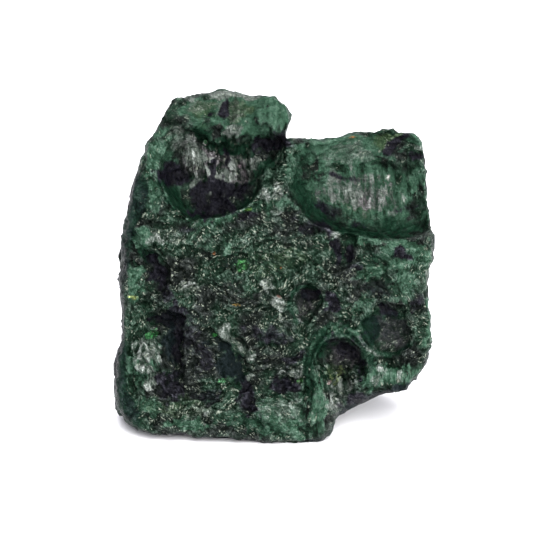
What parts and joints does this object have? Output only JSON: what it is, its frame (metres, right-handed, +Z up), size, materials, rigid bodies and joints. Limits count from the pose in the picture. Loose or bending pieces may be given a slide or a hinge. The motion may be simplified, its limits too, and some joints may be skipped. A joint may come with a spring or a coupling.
{
  "type": "rough emerald",
  "caption": "Rough emerald, a broken and pitted piece of dark green beryl with black mica, standing on a flat place on its broken lower end.",
  "frame": {"origin": "on the surface the stone stands on, under the middle of its bounding box", "axes": "+Z up, +X to the right of a person who looks at the hollowed face, +Y away from that person; the hollowed face looks towards -Y and leans back about 20 degrees"},
  "size_m": [0.0528, 0.0288, 0.0533],
  "materials": {
    "emerald": "rough and grainy, dark green and black, with small bright glints"
  },
  "bodies": {
    "root": {"emerald": "emerald"}
  },
  "joints": []
}
